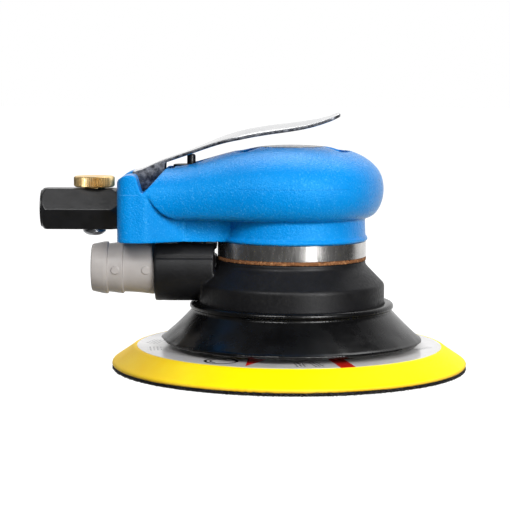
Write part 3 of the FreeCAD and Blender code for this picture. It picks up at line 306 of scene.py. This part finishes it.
def polished_steel():
    """Buffed stainless sheet with fine long scratches, duller where it stands upright and painted darker
    there as shade.
    """
    look = Surface("polished_steel", Metallic=1.0)
    long_marks = look.noise(1.0, 4, 0.7, look.stretched(60, 1500, 900))
    blotch = look.noise(70, 3)
    upright = look.band(look.axes(look.node("ShaderNodeNewGeometry").outputs["Normal"])[2], 0, 0.3, 0.3)
    face = look.ramp(blotch, [(0.3, tone(205, 206, 208)), (0.75, tone(232, 232, 232))])
    scuffs = look.noise(500, 4, 0.7)
    # Painted shade: upright faces get a dark grey, mottled colour that stands in for the dark room they
    # reflect
    side = look.ramp(scuffs, [(0.4, tone(66, 68, 74)), (0.7, tone(140, 142, 148))])
    look.colour(look.mix(upright, face, side))
    buffed = look.ramp(long_marks, [(0.3, 0.1), (0.75, 0.24)])
    look.roughness(look.mix(upright, buffed, look.ramp(scuffs, [(0.3, 0.34), (0.7, 0.5)])))
    look.bump(long_marks, 0.02, 0.5)
    return look.material


def machined_steel():
    look = Surface("machined_steel", Metallic=1.0)
    marks = look.noise(1.0, 3, 0.6, look.stretched(300, 300, 4000))
    look.colour(look.ramp(look.noise(150, 3), [(0.3, tone(150, 152, 156)), (0.7, tone(196, 197, 199))]))
    look.roughness(look.ramp(marks, [(0.3, 0.2), (0.7, 0.38)]))
    look.bump(marks, 0.02, 0.5)
    return look.material


def black_metal():
    """Satin black anodised aluminium."""
    look = Surface("black_anodised", Metallic=0.0, Specular_IOR_Level=0.6)
    look.colour(look.ramp(look.noise(220, 4), [(0.3, tone(17, 17, 18)), (0.75, tone(30, 30, 32))]))
    look.roughness(look.ramp(look.noise(900, 4, 0.6), [(0.3, 0.28), (0.7, 0.46)]))
    look.bump(look.noise(2200, 3), 0.04, 0.35)
    return look.material


def black_plastic():
    """Matt black glass-filled nylon."""
    look = Surface("black_nylon", Specular_IOR_Level=0.3)
    look.colour(look.ramp(look.noise(120, 4), [(0.3, tone(13, 13, 15)), (0.75, tone(23, 23, 25))]))
    look.roughness(look.ramp(look.noise(800, 4), [(0.3, 0.38), (0.7, 0.56)]))
    look.bump(look.noise(1500, 3, 0.6), 0.1, 0.45)
    return look.material


def black_rubber():
    """Glossy moulded rubber with faint dust and handling marks."""
    look = Surface("moulded_rubber", Specular_IOR_Level=0.36)
    smear = look.noise(60, 5, 0.65)
    look.colour(look.ramp(smear, [(0.4, tone(4, 4, 5)), (0.8, tone(13, 13, 14))]))
    look.roughness(look.ramp(smear, [(0.35, 0.2), (0.75, 0.4)]))
    look.bump(look.noise(700, 4, 0.6), 0.04, 0.3)
    return look.material


def grey_plastic():
    look = Surface("warm_grey_nylon", Specular_IOR_Level=0.45)
    look.colour(look.ramp(look.noise(90, 4), [(0.3, tone(158, 152, 149)), (0.7, tone(176, 171, 168))]))
    look.roughness(look.ramp(look.noise(700, 3), [(0.3, 0.36), (0.7, 0.5)]))
    look.bump(look.noise(1600, 3), 0.05, 0.3)
    return look.material


def aluminium():
    """Turned aluminium with fine tool lines round it and small scratches."""
    look = Surface("turned_aluminium", Metallic=1.0)
    lines = look.noise(1.0, 3, 0.7, look.stretched(120, 120, 9000))
    marks = look.noise(1.0, 5, 0.75, look.stretched(900, 900, 160))
    look.colour(look.ramp(look.noise(130, 4), [(0.3, tone(196, 194, 192)), (0.75, tone(228, 226, 223))]))
    look.roughness(look.ramp(marks, [(0.35, 0.2), (0.7, 0.3)]))
    look.bump(lines, 0.03, 0.4)
    look.bump(look.ramp(marks, [(0.7, 0.0), (0.76, 1.0)]), 0.03, 0.3)
    return look.material


def brass():
    look = Surface("brass", Metallic=1.0)
    metal = look.ramp(look.noise(400, 4), [(0.3, tone(226, 186, 120)), (0.7, tone(255, 228, 172))])
    # Painted shade: the knurl grooves and other hollows are darkened to brown by ambient occlusion
    groove_shade_node = look.node("ShaderNodeAmbientOcclusion", samples=8)
    groove_shade_node.inputs["Distance"].default_value = 0.6 * MM
    unshaded_share = look.ramp(groove_shade_node.outputs["AO"], [(0.45, 0.0), (0.85, 1.0)])
    look.colour(look.mix(unshaded_share, tone(96, 66, 34), metal))
    look.roughness(look.ramp(look.noise(1200, 3), [(0.3, 0.3), (0.7, 0.5)]))
    look.bump(look.noise(3000, 3), 0.02, 0.5)
    return look.material


def cork():
    """Pressed cork and rubber sheet, in brown grains."""
    look = Surface("cork_gasket", Specular_IOR_Level=0.2)
    grains = look.cells(900)
    speck = look.noise(1400, 4, 0.7)
    base = look.ramp(grains, [(0.1, tone(176, 128, 86)), (0.5, tone(128, 84, 52))])
    look.colour(look.mix(look.ramp(speck, [(0.5, 0.0), (0.66, 0.8)]), base, tone(70, 42, 26)))
    look.roughness(look.ramp(speck, [(0.3, 0.75), (0.7, 0.95)]))
    look.bump(grains, 0.3, 0.8)
    return look.material


def yellow_foam():
    """Skinned polyurethane foam, browner towards the rim's lower edge, and browner to the left as painted
    shade.
    """
    look = Surface("yellow_foam", Specular_IOR_Level=0.14, Specular_Tint=(1.0, 0.95, 0.0, 1.0))
    x, y, z = look.axes()
    cloud = look.noise(28, 4, 0.6)
    pores = look.noise(1500, 4, 0.7)
    yellow_tone = look.ramp(cloud, [(0.3, tone(255, 228, 0)), (0.7, tone(255, 238, 0))])
    brown_tone = look.ramp(cloud, [(0.3, tone(250, 184, 40)), (0.7, tone(255, 206, 84))])
    # Painted shade: browner to the left, standing in for the dimmer light on that side
    drifted = look.math("ADD", x, look.math("MULTIPLY", cloud, PAINTED_SHADE_DRIFT * MM))
    side = look.graded(drifted, (PAD_X + PAINTED_SHADE_FROM_X) * MM, (PAD_X + PAINTED_SHADE_TO_X) * MM, 0.65, 0.0)
    low = look.graded(z, RIM_BROWN_Z * MM, RIM_YELLOW_Z * MM, 0.85, 0.0)
    share = look.math("MAXIMUM", side, low)
    look.colour(look.mix(share, yellow_tone, brown_tone))
    look.roughness(look.ramp(pores, [(0.3, 0.42), (0.7, 0.62)]))
    look.bump(pores, 0.08, 0.4)
    return look.material


def hook_fabric():
    """Black knitted hook tape."""
    look = Surface("hook_tape", Specular_IOR_Level=0.12)
    speck = look.noise(1700, 3, 0.7)
    look.colour(look.ramp(speck, [(0.5, tone(7, 7, 7)), (0.74, tone(96, 94, 92))]))
    look.roughness(look.ramp(speck, [(0.3, 0.6), (0.7, 0.85)]))
    look.bump(look.cells(1500), 0.2, 0.7)
    return look.material


def label_print():
    """White printed label. Its marks are plain shapes: a wedge, a band, rings and rows of dashes."""
    look = Surface("pad_label_print", Specular_IOR_Level=0.5)
    paper = look.ramp(look.noise(60, 3), [(0.3, tone(214, 212, 211)), (0.7, tone(228, 226, 225))])
    along, across = pad_spot(look, *RED_WEDGE)
    flare = look.math("MULTIPLY", along, WEDGE_FLARE)
    wedge = look.math("LESS_THAN", look.math("ABSOLUTE", across), flare)
    wedge = look.math("MULTIPLY", wedge, look.math("LESS_THAN", along, WEDGE_LENGTH * MM))
    colour = look.mix(wedge, paper, tone(236, 36, 28))
    along, across = pad_spot(look, *RED_BAND)
    length = look.stripe(along, 0, BAND_HALF_LENGTH, 0.1)
    strip = look.math("MULTIPLY", length, look.stripe(across, 0, BAND_HALF_WIDTH, 0.1))
    colour = look.mix(strip, colour, tone(216, 34, 26))
    for radius, angle in LABEL_RINGS:
        along, across = pad_spot(look, radius, angle, 0)
        away = look.distance(along, across)
        ring = look.stripe(away, *FULL_RING, 0.15)
        half = look.math("LESS_THAN", across, 0)
        inner = look.math("MULTIPLY", look.stripe(away, *HALF_RING, 0.15), half)
        colour = look.mix(look.math("MAXIMUM", ring, inner), colour, tone(40, 40, 42))
    for radius, angle, turn, rows, grey in LABEL_DASHES:
        along, across = pad_spot(look, radius, angle, turn)
        length = look.stripe(along, 0, DASH_HALF_LENGTH, 0.1)
        width = look.stripe(across, 0, rows * ROW_PITCH / 2, 0.05)
        dash = repeated(look, along, DASH_PITCH, 0.28)
        row = repeated(look, across, ROW_PITCH, 0.45)
        marks = look.math("MULTIPLY", look.math("MULTIPLY", length, width), look.math("MULTIPLY", dash, row))
        colour = look.mix(marks, colour, tone(grey, grey, grey))
    look.colour(colour)
    look.roughness(look.ramp(look.noise(500, 3), [(0.3, 0.12), (0.7, 0.22)]))
    look.bump(look.noise(900, 3), 0.02, 0.25)
    return look.material


def pad_spot(look, radius, angle, turn):
    """Coordinates from a point of the pad, given by radius and angle, along the radius plus a turn."""
    x = PAD_X + radius * math.cos(math.radians(angle))
    y = PAD_Y + radius * math.sin(math.radians(angle))
    return look.spot(x, y, angle + turn)


def repeated(look, value, pitch, gap):
    """Marks with a pitch in mm. The gap is the share of the pitch that stays blank."""
    return look.math("GREATER_THAN", look.math("FRACT", look.math("DIVIDE", value, pitch * MM)), gap)


def dark_label():
    """Dark glossy disc with plain pale rings."""
    look = Surface("top_label_print", Specular_IOR_Level=0.5)
    x, y, z = look.axes()
    away = look.distance(x, y)
    ink = look.ramp(look.noise(80, 3), [(0.3, tone(26, 27, 30)), (0.7, tone(36, 37, 40))])
    outer, inner = (look.stripe(away, *ring, 0.05) for ring in CROWN_RINGS)
    look.colour(look.mix(look.math("MAXIMUM", outer, inner), ink, tone(176, 178, 182)))
    look.roughness(look.ramp(look.noise(500, 3), [(0.3, 0.14), (0.7, 0.26)]))
    look.bump(look.noise(1200, 3), 0.02, 0.25)
    return look.material


def fibre_plate():
    look = Surface("fibre_plate", Specular_IOR_Level=0.4)
    look.colour(look.ramp(look.noise(200, 4), [(0.3, tone(70, 66, 52)), (0.7, tone(96, 90, 70))]))
    look.roughness(look.ramp(look.noise(500, 3), [(0.3, 0.5), (0.7, 0.7)]))
    look.bump(look.noise(700, 3), 0.1, 0.5)
    return look.material


LOOKS = {
    "housing_blue": blue_plastic(),
    "label_dark": dark_label(),
    "polished_steel": polished_steel(),
    "machined_steel": machined_steel(),
    "black_metal": black_metal(),
    "black_plastic": black_plastic(),
    "grey_plastic": grey_plastic(),
    "aluminium": aluminium(),
    "brass": brass(),
    "black_rubber": black_rubber(),
    "cork": cork(),
    "foam_yellow": yellow_foam(),
    "hook_black": hook_fabric(),
    "label_white": label_print(),
    "fibre_plate": fibre_plate(),
}
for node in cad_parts.values():
    for holder in node.material_slots:
        holder.material = LOOKS[holder.material.name]


# ---- mesh helpers ----


def show(name, mesh, body, slot, sharp=35):
    """Puts a mesh in the scene as a piece on a body, with its slot's material and smooth shading.

    Edges that turn by more than the sharp angle, in degrees, stay crisp.
    """
    piece = bpy.data.objects.new(name, mesh)
    bpy.context.scene.collection.objects.link(piece)
    mesh.materials.clear()
    mesh.materials.append(LOOKS[slot])
    mesh.shade_smooth()
    mesh.set_sharp_from_angle(angle=math.radians(sharp))
    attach(piece, body)
    return piece


def with_modifiers(mesh, *steps):
    """The mesh after the modifiers, each given as (kind, settings)."""
    carrier = bpy.data.objects.new("carrier", mesh)
    bpy.context.scene.collection.objects.link(carrier)
    for kind, settings in steps:
        modifier = carrier.modifiers.new(kind, kind)
        for name, value in settings.items():
            setattr(modifier, name, value)
    bpy.context.view_layer.update()
    graph = bpy.context.evaluated_depsgraph_get()
    made = bpy.data.meshes.new_from_object(carrier.evaluated_get(graph))
    bpy.data.objects.remove(carrier)
    return made


def softened(node, voxel, passes, keep=1.0):
    """A CAD node's shape with its edges eased, as it leaves a mould. Keep is the share of faces kept."""
    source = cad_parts[node].data.copy()
    steps = [
        ("REMESH", {"mode": "VOXEL", "voxel_size": voxel * MM, "adaptivity": 0.0}),
        ("SMOOTH", {"factor": 0.5, "iterations": passes}),
    ]
    if keep < 1:
        steps.append(("DECIMATE", {"ratio": keep}))
    return with_modifiers(source, *steps)


def uneven(mesh, size, height, share=lambda at: 1.0):
    """The mesh pushed in and out along its normals by smooth noise of that size and height."""
    pushes = []
    for vertex in mesh.vertices:
        strength = noise.noise(vertex.co / (size * MM)) * share(vertex.co / MM)
        pushes.append(vertex.normal * strength * height * MM)
    for vertex, push in zip(mesh.vertices, pushes):
        vertex.co += push
    return mesh


def eased(node, width, segments=3, angle=30):
    """A CAD node's shape with its sharp edges rounded to that radius."""
    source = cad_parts[node].data
    corners = [vertex.co for vertex in source.vertices]
    mesh = bpy.data.meshes.new(node)
    mesh.from_pydata(corners, [], [tuple(face.vertices) for face in source.polygons])
    settings = {
        "width": width * MM,
        "segments": segments,
        "limit_method": "ANGLE",
        "angle_limit": math.radians(angle),
        "harden_normals": False,
    }
    return with_modifiers(mesh, ("WELD", {"merge_threshold": 0.001 * MM}), ("BEVEL", settings))


# ---- pieces that replace CAD nodes ----

# Hook tape: underside of its backing, spacing of the hooks, how far they stray from their grid as a
# share of it, the rim that the grid leaves free, and hooks along the rim
BACKING_BOTTOM = 0.3
HOOK_SPACING = 1.7
HOOK_STRAY = 0.3
RIM_WIDTH = 0.5
RIM_HOOKS = 1800
# One hook: radius and sides of its wire, depth of its root, and its bend as steps out and up from the tip
HOOK_WIRE = 0.12
HOOK_SIDES = 3
HOOK_ROOT = 0.1
HOOK_BEND = [(0.02, 0.3), (0.12, 0.08), (0.3, 0.08), (0.38, 0.28)]
UP = Vector((0, 0, 1))


def housing_shell():
    """The housing with the eased edges of a moulding."""
    shell = show("housing_shell", softened("housing", 0.5, 3, 0.6), "root", "housing_blue", 60)
    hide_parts("housing")


def shroud_cover():
    cover = show("shroud_cover", softened("shroud", 0.5, 3), "root", "black_plastic", 60)
    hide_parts("shroud")


# Height of the skirt's firm lip, which grips the shroud
LIP_HEIGHT = 5.0
# Curl of the skirt's free edge: angle from the left towards the front, spread in degrees, height in mm
CURL_MIDDLE = 10.0
CURL_HALF_ANGLE = 14.0
CURL_HEIGHT = 1.3


def looseness(at):
    """0 at the skirt's lip and 1 at its free edge."""
    grip = SKIRT_HIGH.z - LIP_HEIGHT
    return min(1.0, max(0.0, (grip - at.z) / (grip - SKIRT_LOW.z)))


def waviness(at):
    """How much the skirt waves: most at the free edge's left, less than half of that at its right."""
    return looseness(at) * (0.7 - 0.3 * at.x / SKIRT_HIGH.x)


def skirt_rubber():
    """Soft apron: even at the lip that grips the shroud, wavy at its free edge, curled up at the left."""
    mesh = uneven(softened("skirt", 0.45, 4, 0.8), 7, 0.4, waviness)
    for vertex in mesh.vertices:
        at = vertex.co / MM
        away = math.degrees(math.atan2(-at.y, -at.x)) - CURL_MIDDLE
        rise = CURL_HEIGHT * math.exp(-((away / CURL_HALF_ANGLE) ** 2))
        vertex.co.z += rise * looseness(at) ** 3 * MM
    rubber = show("skirt_rubber", mesh, "root", "black_rubber", 60)
    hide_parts("skirt")


def gasket_sheet():
    mesh = uneven(softened("shroud_gasket", 0.3, 2), 0.7, 0.16)
    sheet = show("gasket_sheet", mesh, "root", "cork", 60)
    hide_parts("shroud_gasket")


def lever_sheet():
    """Pressed lever with its cut edges rounded."""
    sheet = show("lever_sheet", eased("throttle_lever", 0.3), "lever", "polished_steel")
    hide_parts("throttle_lever")


def fitting_barb():
    barb = show("fitting_barb", softened("hose_fitting", 0.22, 2, 0.6), "fitting", "grey_plastic", 60)
    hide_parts("hose_fitting")


def inlet_body():
    body = show("inlet_body", softened("inlet_bushing", 0.24, 3), "root", "black_metal", 60)
    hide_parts("inlet_bushing")


def foam_disc():
    """Skinned foam with a slightly uneven bevel."""
    mesh = uneven(softened("pad_foam", 0.8, 2), 16, 0.12)
    foam = show("foam_disc", mesh, "pad", "foam_yellow", 60)
    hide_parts("pad_foam")


def hook(at, lean, low, points, faces):
    """One bent bristle hanging from the backing down to about the height low."""
    side = Vector((-lean.y, lean.x, 0))
    slope = (lean + UP) * 0.7
    line = [(0.0, BACKING_BOTTOM + HOOK_ROOT)] + [(out, low + up) for out, up in HOOK_BEND]
    first = len(points)
    for reach, height in line:
        centre = at + lean * reach
        for turn in range(HOOK_SIDES):
            angle = 2 * math.pi * turn / HOOK_SIDES
            offset = side * math.cos(angle) + slope * math.sin(angle)
            corner = Vector((centre.x, centre.y, height)) + offset * HOOK_WIRE
            points.append(Vector((corner.x, corner.y, max(corner.z, 0.0))) * MM)
    last = len(points) - HOOK_SIDES
    for start in range(first, last, HOOK_SIDES):
        for turn in range(HOOK_SIDES):
            here = start + turn
            after = start + (turn + 1) % HOOK_SIDES
            faces.append((here, after, after + HOOK_SIDES, here + HOOK_SIDES))
    faces.append(tuple(reversed(range(first, first + HOOK_SIDES))))
    faces.append(tuple(range(last, last + HOOK_SIDES)))


def hook_tape():
    """Backing with the CAD's outline and holes, and rows of hooks down to the ground."""
    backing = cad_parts["pad_hook_face"].data.copy()
    for vertex in backing.vertices:
        if vertex.co.z < HOOK_TOP / 2 * MM:
            vertex.co.z = BACKING_BOTTOM * MM
    backing.update()
    tape = show("hook_backing", backing, "pad", "hook_black")
    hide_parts("pad_hook_face")
    corners = [vertex.co for vertex in backing.vertices]
    tree = BVHTree.FromPolygons(corners, [face.vertices for face in backing.polygons])
    dice = random.Random(5)
    points, faces = [], []
    steps = int(HOOK_RADIUS / HOOK_SPACING) + 1
    for column in range(-steps, steps + 1):
        for row in range(-steps, steps + 1):
            x = PAD_X + (column + dice.uniform(-HOOK_STRAY, HOOK_STRAY)) * HOOK_SPACING
            y = PAD_Y + (row + dice.uniform(-HOOK_STRAY, HOOK_STRAY)) * HOOK_SPACING
            heading = dice.uniform(0, 2 * math.pi)
            backed = tree.ray_cast(Vector((x * MM, y * MM, -1.0)), UP)[0]
            if backed and math.hypot(x - PAD_X, y - PAD_Y) < HOOK_RADIUS - RIM_WIDTH:
                lean = Vector((math.cos(heading), math.sin(heading), 0))
                hook(Vector((x, y, 0)), lean, dice.uniform(0.0, 0.2), points, faces)
    for number in range(RIM_HOOKS):
        angle = 2 * math.pi * (number + dice.uniform(-0.4, 0.4)) / RIM_HOOKS
        lean = Vector((math.cos(angle), math.sin(angle), 0))
        reach = HOOK_RADIUS - dice.uniform(0.1, 0.6)
        hook(Vector((PAD_X, PAD_Y, 0)) + lean * reach, lean, dice.uniform(0.0, 0.4), points, faces)
    mesh = bpy.data.meshes.new("hooks")
    mesh.from_pydata(points, [], faces)
    show("hook_bristles", mesh, "pad", "hook_black")


housing_shell()
shroud_cover()
skirt_rubber()
gasket_sheet()
lever_sheet()
fitting_barb()
inlet_body()
foam_disc()
hook_tape()


# ---- stage, lights and camera ----

# Soft lights, seen from the object: degrees to the right of the camera, elevation, distance,
# width and height in metres, and watts
SOFT_BOXES = {
    "key_light": (30, 17, 1.0, 0.3, 0.6, 10.4),
    "fill_light": (-24, 34, 1.2, 0.5, 0.4, 7.2),
    "back_light": (165, 62, 1.0, 0.8, 0.5, 4.0),
}

# World brightness along an axis: from, to, and the level at each
WORLD_FRONT = ("Y", 0.0, 0.7, 0.07, 1.0)
WORLD_LEFT = ("X", -0.9, -0.2, 0.72, 1.0)
# Dark strip at the right: its middle and half width along Y, how much it takes away, and where it starts
# along X
WORLD_STRIP = (0.22, 0.16, 0.85)
STRIP_FROM_X = 0.5
FLOOR_REACH = 6.0


def stage_material():
    look = Surface("studio_floor", Roughness=0.9, Specular_IOR_Level=0.1)
    look.colour(look.ramp(look.noise(3, 2), [(0.3, 0.2), (0.7, 0.22)]))
    look.shader.inputs["Emission Color"].default_value = (1.0, 1.0, 1.0, 1.0)
    look.shader.inputs["Emission Strength"].default_value = 0.96
    return look.material


def floor():
    mesh = bpy.data.meshes.new("floor")
    corners = [(x * FLOOR_REACH, y * FLOOR_REACH, 0) for x, y in ((-1, -1), (1, -1), (1, 1), (-1, 1))]
    mesh.from_pydata(corners, [], [(0, 1, 2, 3)])
    mesh.materials.append(stage_material())
    ground = bpy.data.objects.new("floor", mesh)
    bpy.context.scene.collection.objects.link(ground)
    ground.visible_diffuse = False
    ground.visible_glossy = False
    ground.visible_shadow = False


def studio_world():
    """White to look at. As light, a bright wall behind, a dim front and a dark strip at the right."""
    world = bpy.data.worlds.new("studio")
    bpy.context.scene.world = world
    world.use_nodes = True
    sky = Wiring(world.node_tree)
    split = sky.node("ShaderNodeSeparateXYZ")
    sky.wire(sky.node("ShaderNodeTexCoord").outputs["Generated"], split.inputs["Vector"])

    def wall(axis, start, end, first, last):
        return sky.graded(split.outputs[axis], start, end, first, last, "LINEAR")

    room = sky.math("MULTIPLY", wall(*WORLD_FRONT), wall(*WORLD_LEFT))
    middle, half_width, share = WORLD_STRIP
    away = sky.math("ABSOLUTE", sky.math("SUBTRACT", split.outputs["Y"], middle))
    right = sky.math("GREATER_THAN", split.outputs["X"], STRIP_FROM_X)
    strip = sky.math("MULTIPLY", sky.math("LESS_THAN", away, half_width), right)
    room = sky.math("MULTIPLY", room, sky.math("SUBTRACT", 1.0, sky.math("MULTIPLY", strip, share)))
    seen = sky.math("MAXIMUM", room, sky.node("ShaderNodeLightPath").outputs["Is Camera Ray"])
    back = sky.tree.nodes["Background"]
    back.inputs["Color"].default_value = (1.0, 1.0, 1.0, 1.0)
    sky.wire(seen, back.inputs["Strength"])


def soft_box(name, aside, elevation, distance, width, height, watts):
    lamp = bpy.data.lights.new(name, "AREA")
    lamp.shape = "RECTANGLE"
    lamp.size = width
    lamp.size_y = height
    lamp.energy = watts
    holder = bpy.data.objects.new(name, lamp)
    bpy.context.scene.collection.objects.link(holder)
    turn = math.radians(aside - 90)
    rise = math.radians(elevation)
    arm = Vector((math.cos(turn) * math.cos(rise), math.sin(turn) * math.cos(rise), math.sin(rise)))
    centre = (cad_box[0] + cad_box[1]) / 2
    holder.location = centre + arm * distance
    holder.rotation_euler = (-arm).to_track_quat("-Z", "Y").to_euler()


def camera():
    lens = bpy.data.cameras.new("camera")
    lens.lens = CAMERA_LENS
    lens.sensor_width = 36.0
    lens.clip_start = 0.01
    lens.clip_end = 50.0
    holder = bpy.data.objects.new("camera", lens)
    bpy.context.scene.collection.objects.link(holder)
    tilt = Matrix.Rotation(math.radians(90 + CAMERA_PITCH), 4, "X")
    roll = Matrix.Rotation(math.radians(CAMERA_ROLL), 4, "Z")
    holder.matrix_world = Matrix.Translation(Vector(CAMERA_AT) * MM) @ tilt @ roll
    bpy.context.scene.camera = holder


floor()
studio_world()
for name, facts in SOFT_BOXES.items():
    soft_box(name, *facts)
camera()
bpy.context.scene.view_settings.view_transform = "Standard"
